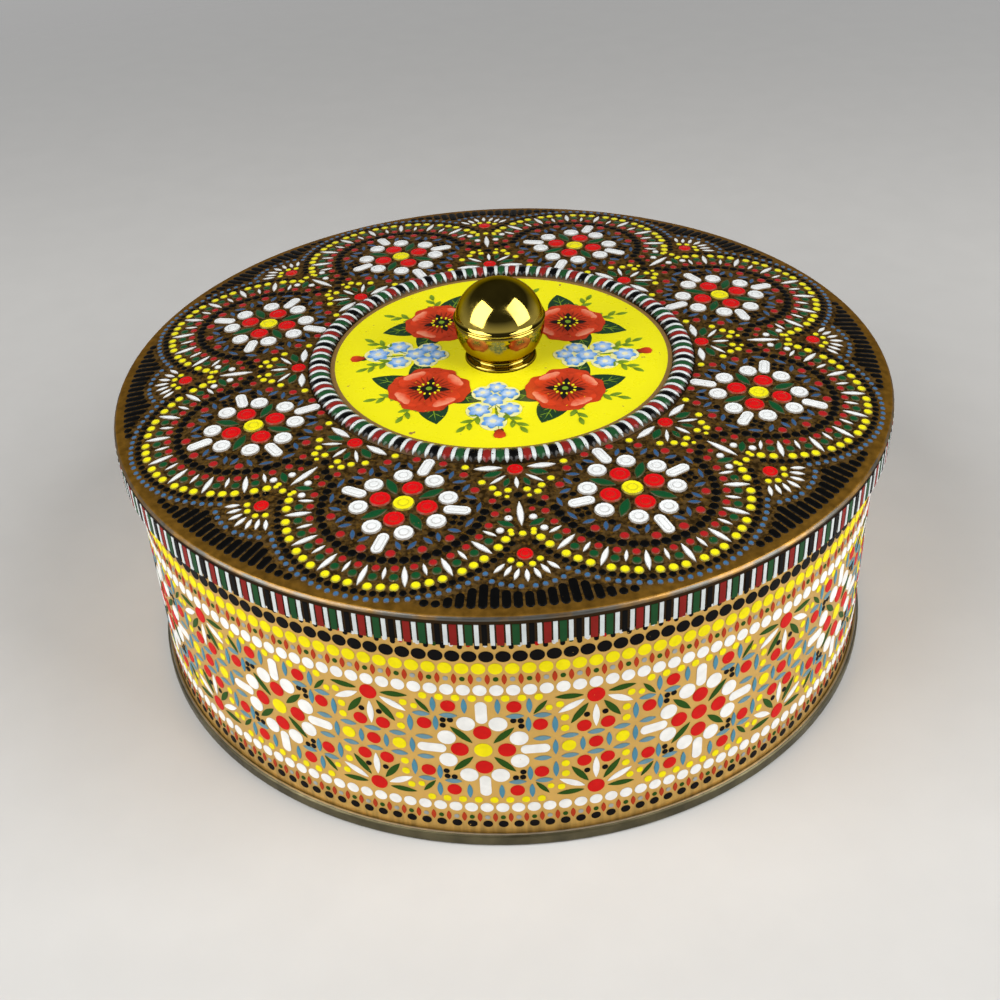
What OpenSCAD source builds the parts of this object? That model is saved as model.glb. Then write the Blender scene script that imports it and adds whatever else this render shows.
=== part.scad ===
// Round tinplate box with a domed lift-off lid and a brass ball knob.
// Millimetres, +Z up, origin on the floor under the middle of the base.
// Every tin piece is one bent sheet: its section follows a path and has the sheet's thickness.

/* [Tin body] */
// Outer radius of the straight wall
wall_r = 92.4; // [70:0.1:130]
// Height of the curled mouth above the floor
mouth_h = 68.3; // [45:0.1:140]
// Thickness of the tinplate
sheet_t = 0.35; // [0.25:0.05:0.5]
// Diameter of the inward curl at the mouth
mouth_curl_d = 2.4; // [1.8:0.1:4]
// Width of the lock seam that joins the rolled wall at the back
lock_w = 5; // [3:0.5:9]
// Depth of the fine groove that the lock seam leaves outside
lock_groove = 0.12; // [0.05:0.01:0.2]

/* [Base] */
// Height of the double seam round the base
seam_h = 3.2; // [2.8:0.1:6]
// Gap between the layers of the double seam
seam_gap = 0.12; // [0.05:0.01:0.2]
// Bend radius at the lower corners of the double seam
seam_bend = 0.7; // [0.6:0.05:1]
// Height of the base panel's underside above the floor
panel_lift = 2.4; // [1.8:0.1:5]
// Radius of the stiffening ring pressed into the base
stiff_r = 66; // [30:1:85]
// Width of the stiffening ring
stiff_w = 7; // [5:0.5:12]
// Height of the stiffening ring
stiff_h = 0.9; // [0.5:0.1:1.5]

/* [Lid] */
// Slip clearance between the lid's hem and the wall
lid_gap = 0.5; // [0.3:0.1:1.2]
// Diameter of the inward curl at the lid's hem
hem_d = 2.2; // [1.6:0.1:4]
// Height of the skirt from the rim to the hem's lower edge
skirt_h = 6.2; // [4.5:0.1:20]
// Outer bend radius at the lid's rim
rim_bend = 1; // [0.6:0.1:2.5]
// Rise of the domed top from the rim to the centre panel
dome_rise = 3.7; // [2:0.1:9]
// Gap that stays between the mouth curl and the lid above it
seat_gap = 0.25; // [0.1:0.05:0.5]
// Middle radius of the raised rope ring
rope_r = 44.9; // [30:0.1:60]
// Width of the rope ring
rope_w = 5.4; // [3:0.1:9]
// Height of the rope ring
rope_h = 1.5; // [0.8:0.1:2.5]
// Flat margin between the rope ring and the dome
rope_margin = 0.6; // [0.2:0.1:3]

/* [Knob] */
// Radius of the brass ball
ball_r = 11; // [9.8:0.1:16]
// Radius at which the ball is cut flat to stand on its collar
ball_foot_r = 8.2; // [6.5:0.1:9.4]
// Wall of the pressed brass halves
brass_t = 0.5; // [0.3:0.05:0.9]
// Height of the seam between the halves above the ball's centre
ball_seam = 1.2; // [0:0.1:2.5]
// Radius of the fine ridge round that seam
ridge_r = 0.3; // [0.15:0.05:0.5]
// Height of the lip of the lower half that stands inside the upper half
lip_h = 1.4; // [0.8:0.1:2.5]
// Clearance between that lip and the upper half
lip_gap = 0.05; // [0.02:0.01:0.15]
// Radius of the collar's foot flange
flange_r = 8.8; // [8:0.1:12]
// Thickness of the collar's foot flange
flange_t = 0.9; // [0.6:0.1:1.1]
// How far the collar's neck stands in from its flange
neck_in = 1.6; // [1.3:0.1:2.5]
// Height of the collar
collar_h = 2.3; // [1.8:0.1:2.6]

/* [Fixing] */
// Diameter of the stud that holds the knob
stud_d = 4; // [3:0.5:5]
// Clearance round the stud in every hole that it passes
hole_gap = 0.1; // [0.05:0.05:0.4]
// Diameter of the stud's head inside the ball
head_d = 7.5; // [6:0.5:9]
// Height of the stud's head
head_h = 2.6; // [1.5:0.1:4]
// Diameter of the washer under the lid
washer_d = 12; // [10:0.5:18]
// Thickness of the washer
washer_t = 0.8; // [0.5:0.1:1.5]
// Width of the nut across its flats
nut_flats = 7; // [6:0.5:10]
// Height of the nut
nut_h = 3.2; // [2:0.1:4]
// Running clearance between the nut and the stud
nut_gap = 0.04; // [0.02:0.01:0.08]
// Length of stud that shows below the nut
stud_end = 0.8; // [0.3:0.1:2]

/* [Hidden] */
$fn = 128;
// Angle between neighbouring points on a bend, and on the wide dome
bend_step = 15;
dome_step = 0.35;
ball_step = 5;
// How far the curls turn before the sheet ends
curl_turn = 285;
// Straight stretch of the chuck wall between its two bends
chuck_flat = 0.5;
// Points closer than this are one point, and cutters reach this far past what they cut
same_point = 0.0005;
over = 1;

// Double seam, layer by layer outwards from the wall
wall_in_r = wall_r - sheet_t;
hook_bend = (3 * sheet_t + 2 * seam_gap) / 2;
body_hook_r = wall_r + 2 * sheet_t + 2 * seam_gap;
seam_r = body_hook_r + sheet_t + seam_gap;
chuck_r = wall_in_r - seam_gap - sheet_t;
wall_foot_z = sheet_t + seam_gap;
panel_bend = panel_lift - seam_bend - chuck_flat;

// Lid: the dome is one arc, tangent to the panel and to the rim's bend, seated on the mouth curl
lid_r = wall_r + lid_gap + hem_d;
dome_start_r = rope_r + rope_w / 2 + rope_margin;
dome_run = lid_r - dome_start_r;
dome_r = (dome_run * dome_run + dome_rise * dome_rise) / (2 * dome_rise);
mouth_curl_r = wall_r - mouth_curl_d / 2;
seat_reach = dome_r - sheet_t - seat_gap - mouth_curl_d / 2;
dome_z = mouth_h - mouth_curl_d / 2 - sqrt(pow(seat_reach, 2) - pow(mouth_curl_r - dome_start_r, 2));
panel_z = dome_z + dome_r;
rim_r = lid_r - rim_bend;
rim_z = dome_z + sqrt(pow(dome_r - rim_bend, 2) - pow(rim_r - dome_start_r, 2));
rim_angle = atan2(rim_z - dome_z, rim_r - dome_start_r);
hem_z = rim_z - skirt_h;
rope_bend = (rope_w * rope_w / 4 + rope_h * rope_h) / (2 * rope_h);
stiff_bend = (stiff_w * stiff_w / 4 + stiff_h * stiff_h) / (2 * stiff_h);

// Knob, upwards from the lid's panel
stud_hole_r = stud_d / 2 + hole_gap;
neck_r = flange_r - neck_in;
collar_top_z = panel_z + collar_h;
ball_drop = sqrt(ball_r * ball_r - ball_foot_r * ball_foot_r);
ball_z = collar_top_z + ball_drop;
ball_in_r = ball_r - brass_t;
cup_floor_z = collar_top_z + brass_t;
ball_seam_z = ball_z + ball_seam;
lip_top_z = ball_seam_z + lip_h;
lip_r = sqrt(pow(ball_in_r, 2) - pow(ball_seam + lip_h, 2)) - lip_gap;
washer_z = panel_z - sheet_t - washer_t;
nut_z = washer_z - nut_h;

function unit(v) = v / norm(v);
function right_of(v) = [v[1], -v[0]];

// Points on an arc about a centre, from one angle to another, a step apart
function arc(centre, r, from, to, step) =
  let (count = max(1, ceil(abs(to - from) / step)))
  [for (i = [0:count]) let (a = from + (to - from) * i / count) centre + r * [cos(a), sin(a)]];

// A path without the double points where an arc starts on the end of another
function joined(path) =
  [for (i = [0:len(path) - 1]) if (i == 0 || norm(path[i] - path[i - 1]) > same_point) path[i]];

// The point of a path moved to its right by d, mitred between its two neighbours
function moved(path, i, d) =
  let (before = right_of(unit(path[max(i, 1)] - path[max(i, 1) - 1])),
       last = len(path) - 1,
       after = right_of(unit(path[min(i, last - 1) + 1] - path[min(i, last - 1)])),
       middle = unit(before + after))
  path[i] + middle * d / (middle * before);

// Closed section of a sheet whose one face follows the path, with the sheet on the path's right for d over 0
function sheet_section(path, d) =
  concat(path, [for (i = [len(path) - 1:-1:0]) moved(path, i, d)]);

// A pressed ring seen in section: an arch of the given height and bend on a flat sheet at height z
function arch(r, z, height, bend) =
  let (foot = asin((bend - height) / bend))
  arc([r, z + height - bend], bend, 180 - foot, foot, bend_step / 2);

// A ball's outline at a height above its centre
function ball_edge(r, height) = sqrt(r * r - height * height);

// Wall: body hook, fold under, straight wall, inward curl at the mouth
wall_path = joined(concat(
  [[body_hook_r, seam_h - hook_bend]],
  arc([body_hook_r - hook_bend, wall_foot_z + hook_bend], hook_bend, 0, -180, bend_step),
  arc([mouth_curl_r, mouth_h - mouth_curl_d / 2], mouth_curl_d / 2 - sheet_t, 0, curl_turn, bend_step)));

// Base: stiffened panel, chuck wall, floor of the double seam, outer wall, cover hook
base_path = joined(concat(
  [[0, panel_lift]],
  arch(stiff_r, panel_lift, stiff_h, stiff_bend),
  arc([chuck_r - panel_bend, panel_lift - panel_bend], panel_bend, 90, 0, bend_step),
  arc([chuck_r + seam_bend, seam_bend], seam_bend, 180, 270, bend_step),
  arc([seam_r - seam_bend, seam_bend], seam_bend, 270, 360, bend_step),
  arc([seam_r - hook_bend, seam_h - hook_bend], hook_bend, 0, 180, bend_step),
  [[wall_r + seam_gap, wall_foot_z + hook_bend]]));

// Lid: panel, rope ring, dome, rim, skirt, inward curl at the hem
lid_path = joined(concat(
  [[stud_hole_r, panel_z]],
  arch(rope_r, panel_z, rope_h, rope_bend),
  arc([dome_start_r, dome_z], dome_r, 90, rim_angle, dome_step),
  arc([rim_r, rim_z], rim_bend, rim_angle, 0, bend_step),
  arc([lid_r - hem_d / 2, hem_z + hem_d / 2], hem_d / 2, 0, -curl_turn, bend_step)));

// A strip across the back of the tin, for the seam where the rolled wall meets itself
module back_strip(width) {
  translate([-width / 2, 0, 0])
    cube([width, wall_r * 2, mouth_h]);
}

// A plain tube between two radii and two heights
module tube(outer, inner, bottom, top) {
  translate([0, 0, bottom])
    difference() {
      cylinder(r = outer, h = top - bottom);
      translate([0, 0, -over])
        cylinder(r = inner, h = top - bottom + 2 * over);
    }
}

module body_wall() {
  seam_bottom = seam_h + sheet_t;
  seam_top = mouth_h - mouth_curl_d - sheet_t;
  color("tan")
    difference() {
      union() {
        rotate_extrude()
          polygon(sheet_section(wall_path, sheet_t));
        intersection() {
          tube(wall_in_r + sheet_t / 2, wall_in_r - 2 * sheet_t, seam_bottom, seam_top);
          back_strip(lock_w);
        }
      }
      intersection() {
        tube(wall_r + over, wall_r - lock_groove, seam_bottom, seam_top);
        back_strip(sheet_t * 2);
      }
    }
}

module base_disc() {
  color("silver")
    rotate_extrude()
      polygon(sheet_section(base_path, -sheet_t));
}

module lid_shell() {
  color("saddlebrown")
    rotate_extrude()
      polygon(sheet_section(lid_path, sheet_t));
}

module knob_cap() {
  inner_foot = asin(ball_seam / ball_in_r);
  ridge = [ball_edge(ball_r, ball_seam), ball_seam_z + ridge_r];
  centre = [0, ball_z];
  color("gold")
    rotate_extrude()
      polygon(joined(concat(
        arc(ridge, ridge_r, -90, 90, bend_step),
        arc(centre, ball_r, asin((ball_seam + 2 * ridge_r) / ball_r), 90, ball_step),
        arc(centre, ball_in_r, 90, inner_foot, ball_step))));
}

module knob_cup() {
  centre = [0, ball_z];
  lip_foot = ball_seam - lip_h;
  color("gold")
    rotate_extrude()
      polygon(joined(concat(
        [[stud_hole_r, collar_top_z]],
        arc(centre, ball_r, asin(-ball_drop / ball_r), asin(ball_seam / ball_r), ball_step),
        [[lip_r, ball_seam_z], [lip_r, lip_top_z], [lip_r - brass_t, lip_top_z],
         [lip_r - brass_t, ball_z + lip_foot]],
        arc(centre, ball_in_r, asin(lip_foot / ball_in_r), asin((brass_t - ball_drop) / ball_in_r), ball_step),
        [[stud_hole_r, cup_floor_z]])));
}

module knob_collar() {
  edge = flange_t / 2;
  cove = (collar_h - flange_t) / 2;
  color("gold")
    rotate_extrude()
      polygon(joined(concat(
        [[stud_hole_r, panel_z]],
        arc([flange_r - edge, panel_z + edge], edge, -90, 90, bend_step),
        arc([neck_r + cove, panel_z + flange_t + cove], cove, 270, 90, bend_step),
        [[stud_hole_r, collar_top_z]])));
}

module knob_stud() {
  color("gray")
    union() {
      translate([0, 0, cup_floor_z])
        cylinder(d = head_d, h = head_h);
      translate([0, 0, nut_z - stud_end])
        cylinder(d = stud_d, h = cup_floor_z - nut_z + stud_end + head_h / 2);
    }
}

module lid_washer() {
  color("gray")
    tube(washer_d / 2, stud_hole_r, washer_z, washer_z + washer_t);
}

module lid_nut() {
  color("gray")
    translate([0, 0, nut_z])
      difference() {
        cylinder(r = nut_flats / sqrt(3), h = nut_h, $fn = 6);
        translate([0, 0, -over])
          cylinder(r = stud_d / 2 + nut_gap, h = nut_h + 2 * over);
      }
}

body_wall();
base_disc();
lid_shell();
knob_cap();
knob_cup();
knob_collar();
knob_stud();
lid_washer();
lid_nut();
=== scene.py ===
"""A round decorated tin: lacquers, embossed lid mosaic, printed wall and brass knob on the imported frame."""

import math
import random
from collections import namedtuple

import bmesh
import bpy
from bpy.props import FloatProperty, FloatVectorProperty, IntProperty, PointerProperty
from mathutils import Matrix, Vector


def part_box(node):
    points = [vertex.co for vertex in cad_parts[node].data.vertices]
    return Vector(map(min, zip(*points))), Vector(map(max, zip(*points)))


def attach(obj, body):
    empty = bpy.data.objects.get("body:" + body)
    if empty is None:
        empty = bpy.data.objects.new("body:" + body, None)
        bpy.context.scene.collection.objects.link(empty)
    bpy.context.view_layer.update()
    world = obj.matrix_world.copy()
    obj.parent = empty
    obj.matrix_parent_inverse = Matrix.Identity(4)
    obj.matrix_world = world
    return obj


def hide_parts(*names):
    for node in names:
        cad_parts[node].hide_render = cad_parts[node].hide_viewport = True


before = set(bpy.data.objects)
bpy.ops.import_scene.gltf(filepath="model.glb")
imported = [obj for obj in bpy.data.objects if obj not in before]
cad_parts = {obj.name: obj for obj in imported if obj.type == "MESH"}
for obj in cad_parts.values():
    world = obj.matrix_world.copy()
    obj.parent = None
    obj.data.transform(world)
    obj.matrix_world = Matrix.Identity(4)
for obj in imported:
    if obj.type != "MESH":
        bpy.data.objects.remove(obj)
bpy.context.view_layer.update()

bl_info = {
    "name": "Decorated Tin",
    "version": (1, 0, 0),
    "blender": (4, 5, 0),
    "location": "View3D > Sidebar > Tin",
    "description": "Dresses a round lidded tin with lacquer, a tile mosaic, a flower panel and a brass knob",
    "category": "Object",
}

MM = 0.001
TILE_SIDES = 12
PRINT_SIDES = 20
PETAL_SIDES = 36
# A pressed tile's profile: inset from its edge in widths, and height in shares of its rise.
CROWN_STEPS = ((0.05, 0.5), (0.14, 0.8), (0.28, 1.0))
COIN_STEPS = ((0.04, 0.8), (0.09, 0.85), (0.19, 0.3), (0.27, 1.0), (0.35, 1.05))
COIN_WIDTH = 2.8 * MM
LEAST_CROWN = 0.1
TILE_FOOT = 0.12 * MM
TILE_RISE = 0.06 * MM
CROWN_SLOPE = 0.07
PRINT_LIFT = 0.09 * MM
STRAP_RISE = 0.22 * MM
STRAP_FOOT = 0.02 * MM
STRAP_GRID = (8, 4)
# A petal's outline: depth and number of its ruffles, and how much broader it is at its tip.
RUFFLE_DEPTH = 0.05
RUFFLES = 9
PETAL_FLARE = 0.4
PANEL_LAYER = 0.03 * MM
PETAL_STACK = 48
SHARP_EDGE = math.radians(35)
WELD = 1e-6
RING_STEPS = 192
# Heights on the axis that the inner faces look towards: the tin's middle, and a point under the tin.
TIN_INSIDE = 0.03
LID_INSIDE = -0.03

# One tile: its enamel, its outline, its length and width in mm, its place in mm and its turn in degrees.
Tile = namedtuple("Tile", "colour shape length width x y turn", defaults=(0,))


def both(tile):
    """A tile and its mirror picture on the other side of the upright axis."""
    return tile, tile._replace(x=-tile.x, turn=-tile.turn)


def four(tile):
    """A tile in all four quarters of a motif."""
    return both(tile) + both(tile._replace(y=-tile.y, turn=-tile.turn))


def over_under(tile):
    """A tile over a motif's middle and its like under it."""
    return tile, tile._replace(y=-tile.y)


def spot(colour, size, x, y):
    """A round tile."""
    return Tile(colour, "oval", size, size, x, y)


def spots(mirror, colour, *places):
    """Round tiles with their mirror pictures, each given by its size and place."""
    return [tile for place in places for tile in mirror(spot(colour, *place))]


def spindles(mirror, colour, *places):
    """Pointed tiles with their mirror pictures, each given by its length, width, place and turn."""
    return [tile for place in places for tile in mirror(Tile(colour, "spindle", *place))]


def on_ring(colour, shape, length, width, ring, degrees):
    """A tile on a circle round a motif's centre, pointing outwards, at an angle from the motif's top."""
    angle = math.radians(degrees)
    return Tile(colour, shape, length, width, ring * math.sin(angle), ring * math.cos(angle), 90 - degrees)


def bead(colour, size, ring, degrees):
    """A round tile on a circle round a motif's centre."""
    return on_ring(colour, "oval", size, size, ring, degrees)


def point_off(x, y, degrees, reach):
    """The point at some reach from another, in a direction."""
    angle = math.radians(degrees)
    return x + reach * math.cos(angle), y + reach * math.sin(angle)


def span(name, description, value):
    """A length property with its default."""
    return FloatProperty(name=name, description=description, default=value, min=0, unit="LENGTH")


def bearing(name, description, degrees):
    """An angle property with its default."""
    return FloatProperty(name=name, description=description, default=math.radians(degrees), subtype="ANGLE")


def tally(name, description, value):
    """A count property with its default."""
    return IntProperty(name=name, description=description, default=value, min=2)


def colour(name, description, value):
    """A colour property with its default."""
    return FloatVectorProperty(
        name=name, description=description, default=value, size=3, min=0, max=1, subtype="COLOR")


class TinSizes(bpy.types.PropertyGroup):
    """Sizes of the faces that the decoration lies on."""

    wall_radius: span("Wall radius", "Outer radius of the tin's wall", 92.4 * MM)
    lid_radius: span("Lid radius", "Outer radius of the lid's skirt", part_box("lid_shell")[1].x)
    panel_height: span(
        "Panel height", "Height of the lid's flat panel, where the knob's collar sits",
        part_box("knob_collar")[0].z)
    dome_start: span("Dome start", "Radius at which the lid begins to fall away from the panel", 48.2 * MM)
    dome_bend: span("Dome bend", "Radius of the arc along which the lid falls away", 299.1 * MM)
    rope_radius: span("Rope radius", "Radius of the middle of the raised rope ring", 44.9 * MM)
    rope_width: span("Rope width", "Width of the raised rope ring at its foot", 5.4 * MM)
    rope_top: span("Rope top", "Height of the crown of the rope ring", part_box("lid_shell")[1].z)
    skirt_foot: span(
        "Skirt bars' foot", "Height of the lower ends of the bars on the lid's skirt",
        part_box("lid_shell")[0].z + 0.1 * MM)
    skirt_bar: span("Skirt bar", "Length of the bars on the lid's skirt", 5.35 * MM)
    rim_band: span("Rim band", "Radius at which the lid's plain bronze rim begins", 92.7 * MM)
    panel_radius: span("Panel radius", "Radius of the yellow panel", 41.1 * MM)
    panel_edge: span("Panel edge", "Outer radius of the dark line round the yellow panel", 42.3 * MM)
    collar_radius: span(
        "Collar radius", "Radius of the knob's collar, which the panel's print stops at",
        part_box("knob_collar")[1].x)
    seam_margin: span("Seam margin", "Half width of the bare strip along the wall's lock seam", 3.2 * MM)


class MosaicSizes(bpy.types.PropertyGroup):
    """Counts and places of the mosaic's motifs."""

    medallions: tally("Medallions", "Medallions round the lid", 8)
    medallion_ring: span("Medallion ring", "Distance of the medallions' centres from the axis", 64.1 * MM)
    medallion_start: bearing("Medallion start", "Angle of the first medallion from the front", 24.4)
    rosettes: tally("Rosettes", "Rosettes round the wall, with a star panel after each", 12)
    rosette_start: bearing("Rosette start", "Angle of the first rosette from the front", -5.0)
    frieze_height: span("Frieze height", "Height of the rosettes' centres on the wall", 29.2 * MM)
    ovals_per_rosette: tally("Ovals per rosette", "Tiles in a bead row over a rosette and its star panel", 14)
    skirt_groups: tally("Skirt groups", "Groups of six bars round the lid's skirt", 64)
    skirt_start: bearing("Skirt start", "Angle of the first red bar on the skirt from the front", -1.92)
    rope_groups: tally("Rope groups", "Groups of three coloured bars round the rope ring", 32)
    rope_start: bearing("Rope start", "Angle of the first red bar on the rope ring from the front", 5.7)
    flowers: tally("Flowers", "Poppies in the wreath round the knob", 4)
    flower_ring: span("Flower ring", "Distance of the poppies from the knob's axis", 23.0 * MM)


class LidColours(bpy.types.PropertyGroup):
    """Enamels and lacquers of the lid's top."""

    red: colour("Red", "Red of the lid's broad tiles", (0.7, 0.006, 0.008))
    ruby: colour("Ruby", "Duller red of the lid's small tiles", (0.42, 0.014, 0.016))
    yellow: colour("Yellow", "Yellow of the lid's tiles", (0.92, 0.83, 0.01))
    white: colour("White", "White of the lid's tiles", (0.87, 0.89, 0.88))
    green: colour("Green", "Green of the lid's tiles", (0.006, 0.075, 0.022))
    blue: colour("Blue", "Blue of the thin tiles round the rosettes", (0.034, 0.1, 0.22))
    sky: colour("Sky", "Lighter blue of the scalloped outline", (0.05, 0.155, 0.31))
    black: colour("Black", "Black of the lid's tiles", (0.003, 0.003, 0.003))
    ground: colour("Ground", "Brown-bronze lacquer between the tiles", (0.35, 0.2, 0.06))
    rim: colour("Rim", "Golden bronze of the plain rim", (0.54, 0.27, 0.038))
    panel: colour("Panel", "Yellow of the centre panel", (0.94, 0.87, 0.008))


class BarColours(bpy.types.PropertyGroup):
    """Enamels of the bars on the rope ring and the skirt."""

    red: colour("Red", "Red of the bars", (0.24, 0.016, 0.012))
    green: colour("Green", "Green of the bars", (0.014, 0.07, 0.022))
    black: colour("Black", "Black of the bars", (0.003, 0.003, 0.003))
    white: colour("White", "White of the bars", (0.66, 0.7, 0.69))
    ground: colour("Ground", "Dark brown between the bars", (0.035, 0.02, 0.008))


class WallColours(bpy.types.PropertyGroup):
    """Enamels and lacquer of the wall."""

    red: colour("Red", "Red of the wall's print", (0.64, 0.01, 0.008))
    yellow: colour("Yellow", "Yellow of the wall's print", (0.93, 0.79, 0.005))
    white: colour("White", "White of the wall's print", (0.92, 0.91, 0.87))
    green: colour("Green", "Green of the wall's print", (0.024, 0.08, 0.008))
    blue: colour("Blue", "Blue of the upright tiles", (0.085, 0.26, 0.36))
    grey: colour("Grey", "Grey-blue of the cross tiles", (0.15, 0.29, 0.35))
    silver: colour("Silver", "Light grey of the small dots", (0.36, 0.37, 0.34))
    rust: colour("Rust", "Brown-red of the thin upright tiles", (0.46, 0.045, 0.012))
    black: colour("Black", "Black of the wall's print", (0.004, 0.003, 0.003))
    ground: colour("Ground", "Golden tan lacquer under the print", (0.77, 0.465, 0.115))


class MetalColours(bpy.types.PropertyGroup):
    """Bare metals."""

    tin: colour("Tin", "Bare tinplate inside", (0.52, 0.5, 0.44))
    base: colour("Base", "Tarnished tinplate of the base and its seam", (0.11, 0.095, 0.05))
    brass: colour("Brass", "Polished brass of the knob", (0.63, 0.47, 0.085))
    steel: colour("Steel", "Zinc-plated stud, washer and nut", (0.56, 0.56, 0.57))


class FlowerColours(bpy.types.PropertyGroup):
    """Colours of the wreath on the lid's panel."""

    poppy: colour("Poppy", "Orange-red of the poppies' petals", (0.72, 0.055, 0.012))
    poppy_light: colour("Poppy light", "Salmon of the petals' turned edges", (0.9, 0.3, 0.17))
    star: colour("Star", "Blue of the starry flowers", (0.1, 0.32, 0.75))
    star_light: colour("Star light", "Pale blue at the starry flowers' hearts", (0.6, 0.74, 0.9))
    leaf: colour("Leaf", "Dark green of the leaves", (0.012, 0.05, 0.018))
    sprig: colour("Sprig", "Light green of the sprigs and veins", (0.22, 0.36, 0.02))
    cloud: colour("Cloud", "Pale yellow behind the starry flowers", (0.92, 0.9, 0.42))
    white: colour("White", "Cream of the starry flowers' centres", (0.92, 0.88, 0.6))
    black: colour("Black", "Black of the poppies' hearts", (0.01, 0.006, 0.005))


class StageSizes(bpy.types.PropertyGroup):
    """The camera's place, the floor and the studio's lights."""

    floor: colour("Floor", "Pale floor", (0.62, 0.61, 0.59))
    floor_reach: span("Floor reach", "Distance at which the floor has faded into the backdrop", 0.75)
    camera_place: FloatVectorProperty(
        name="Camera place", description="Where the camera stands", size=3,
        default=(-1.96 * MM, -301.0 * MM, 246.4 * MM), subtype="TRANSLATION", unit="LENGTH")
    camera_fall: bearing("Camera fall", "Angle by which the camera looks down", 36.0)
    camera_roll: bearing("Camera roll", "Turn of the camera about its line of sight", -2.77)
    camera_lens: FloatProperty(
        name="Lens", description="Focal length on a 36 mm sensor", default=50.27, min=10, unit="CAMERA")
    softbox_width: span("Softbox width", "Width of each softbox", 0.66)
    softbox_height: span("Softbox height", "Height of each softbox", 0.86)
    softbox_distance: span("Softbox distance", "Distance of the softboxes from the tin", 0.85)
    left_box: bearing("Left softbox", "Angle of the left softbox from the front", -62)
    right_box: bearing("Right softbox", "Angle of the right softbox from the front", 66)
    softbox_rise: bearing("Softbox rise", "Angle of the softboxes above the floor", 34)
    softbox_power: FloatProperty(
        name="Softbox power", description="Power of each softbox", default=8.5, min=0, unit="POWER")


class Finish:
    """A new material, whose nodes are added and linked one by one."""

    def __init__(self, name, **values):
        self.material = bpy.data.materials.new(name)
        self.material.use_nodes = True
        self.nodes = self.material.node_tree.nodes
        self.links = self.material.node_tree.links
        self.shader = self.nodes["Principled BSDF"]
        for socket, value in values.items():
            self.shader.inputs[socket.replace("_", " ")].default_value = value
        coordinates = self.nodes.new("ShaderNodeTexCoord").outputs
        self.place = coordinates["Object"]
        self.normal = coordinates["Normal"]

    def feed(self, socket, value):
        """Links a socket to another, or sets its value."""
        if isinstance(value, bpy.types.NodeSocket):
            self.links.new(value, socket)
        else:
            socket.default_value = value

    def add(self, kind, output, inputs, **settings):
        """One output of a new node, whose inputs are linked or set."""
        node = self.nodes.new("ShaderNode" + kind)
        for key, value in settings.items():
            setattr(node, key, value)
        for key, value in inputs.items():
            self.feed(node.inputs[key], value)
        return node.outputs[output]

    def noise(self, scale, detail=3.0, stretch=None):
        """Noise of a given scale, drawn out along an axis where stretch says so."""
        place = self.place
        if stretch:
            place = self.add("Mapping", "Vector", {"Vector": place, "Scale": stretch})
        return self.add("TexNoise", "Fac", {"Vector": place, "Scale": scale, "Detail": detail})

    def spread(self, value, low, high, to_low=0.0, to_high=1.0):
        """A value's stretch from low to high, remapped and clamped."""
        return self.add("MapRange", "Result", {
            "Value": value, "From Min": low, "From Max": high, "To Min": to_low, "To Max": to_high})

    def grain(self, scale, low=0.0, high=1.0, detail=3.0):
        """Noise of a given scale that fills the stretch from low to high."""
        return self.spread(self.noise(scale, detail), 0.3, 0.7, low, high)

    def sum(self, operation, a, b):
        """Arithmetic on two values."""
        return self.add("Math", "Value", {0: a, 1: b}, operation=operation)

    def vector_sum(self, operation, output, *vectors):
        """Arithmetic on vectors, which gives a vector or a value."""
        return self.add("VectorMath", output, dict(enumerate(vectors)), operation=operation)

    def mix(self, share, *tones):
        """A blend of two colours."""
        a, b = (tone if isinstance(tone, bpy.types.NodeSocket) else (*tone, 1.0) for tone in tones)
        return self.add("Mix", 2, {"Factor": share, 6: a, 7: b}, data_type="RGBA")

    def clouded(self, tone, share, scale, detail=3.0):
        """A tone with soft clouds at a share of its brightness."""
        return self.mix(self.grain(scale, detail=detail), darker(tone, share), tone)

    def chipped(self, body, ground, low, high):
        """A tone with pin-prick chips that show the ground."""
        return self.mix(self.spread(self.noise(1500, 1.0), low, high), body, ground)

    def upward(self, vector):
        """The upward share of a vector."""
        return self.add("SeparateXYZ", "Z", {"Vector": vector})

    def radius(self):
        """Distance from the tin's axis."""
        flat = self.vector_sum("MULTIPLY", "Vector", self.place, (1, 1, 0))
        return self.vector_sum("LENGTH", "Value", flat)

    def outside(self, middle):
        """1 on faces that look away from a point on the tin's axis, 0 on those that look at it."""
        away = self.vector_sum("SUBTRACT", "Vector", self.place, (0, 0, middle))
        facing = self.vector_sum("DOT_PRODUCT", "Value", away, self.normal)
        return self.spread(facing, -0.5 * MM, 0.5 * MM)

    def paint(self, tone, roughness=None, metallic=None):
        """Sets the shader's colour, roughness and metal share."""
        for socket, value in (("Base Color", tone), ("Roughness", roughness), ("Metallic", metallic)):
            if value is not None:
                self.feed(self.shader.inputs[socket], value)

    def bump(self, height, strength, depth):
        """Small unevenness of the surface."""
        uneven = self.add("Bump", "Normal", {"Height": height, "Strength": strength, "Distance": depth})
        self.feed(self.shader.inputs["Normal"], uneven)


def darker(tone, share):
    """A colour at a share of its brightness."""
    return tuple(channel * share for channel in tone)


def enamel(name, tone, ground, roughness=0.3, **values):
    """Printed enamel: slightly clouded, with pin-prick chips that show the ground."""
    finish = Finish(name, **values)
    finish.paint(
        finish.chipped(finish.clouded(tone, 0.86, 420), ground, 0.82, 0.84),
        finish.grain(900, roughness, roughness + 0.12))
    finish.bump(finish.noise(1100), 0.1, 0.05 * MM)
    return finish.material


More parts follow.
